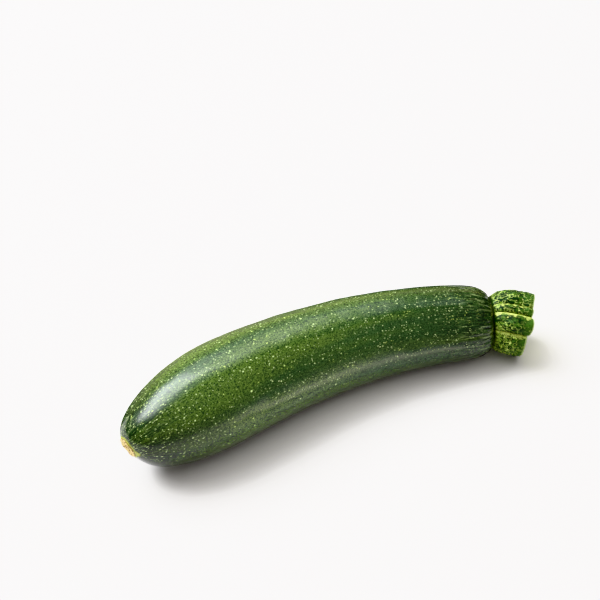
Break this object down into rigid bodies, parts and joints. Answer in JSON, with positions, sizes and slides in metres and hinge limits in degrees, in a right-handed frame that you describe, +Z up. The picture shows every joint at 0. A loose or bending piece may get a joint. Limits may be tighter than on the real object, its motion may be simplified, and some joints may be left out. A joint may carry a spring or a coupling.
{
  "type": "zucchini",
  "caption": "Whole zucchini lying on its side: a bent, faintly ribbed green fruit with a corky blossom scar at one end and a cut, ridged stem at the other.",
  "frame": {"origin": "on the surface that the fruit rests on, under the middle of the bounding box", "axes": "+X from the blossom end towards the stem, +Z up, and the fruit bows towards +Y"},
  "size_m": [0.2032, 0.0534, 0.0449],
  "materials": {
    "fruit_skin": "waxy gloss",
    "stem_rind": "satin"
  },
  "bodies": {
    "root": {"fruit": "fruit_skin", "stem": "stem_rind"}
  },
  "joints": []
}
